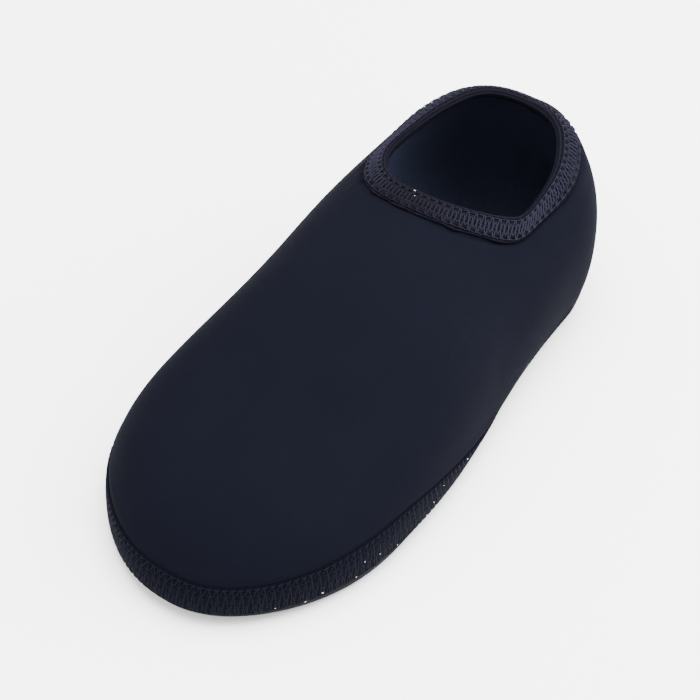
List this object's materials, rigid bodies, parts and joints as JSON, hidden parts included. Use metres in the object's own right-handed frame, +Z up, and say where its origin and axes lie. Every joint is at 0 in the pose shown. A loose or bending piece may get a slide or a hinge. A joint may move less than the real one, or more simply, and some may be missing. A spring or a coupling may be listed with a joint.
{
  "type": "water shoe",
  "caption": "Low slip-on water shoe for the left foot: soft closed upper with a bound collar and a back seam, joined to a thin cupped sole by a flat seam.",
  "frame": {"origin": "on the floor, under the middle of the shoe's bounding box", "axes": "+X from heel to toe, +Y to the wearer's left, the outer side of this left shoe, +Z up"},
  "size_m": [0.2522, 0.1148, 0.0795],
  "materials": {
    "neoprene": "matt knit-faced neoprene, very dark navy",
    "elastic_tape": "matt elastic tape, near black",
    "seam_thread": "flat overlock seam in navy thread",
    "rubber_sheet": "matt black rubber sheet",
    "foam": "matt black cloth-faced foam"
  },
  "bodies": {
    "root": {"upper": "neoprene", "collar_binding": "elastic_tape", "heel_seam": "seam_thread", "sole_seam": "seam_thread", "sole": "rubber_sheet", "insole": "foam"}
  },
  "joints": []
}
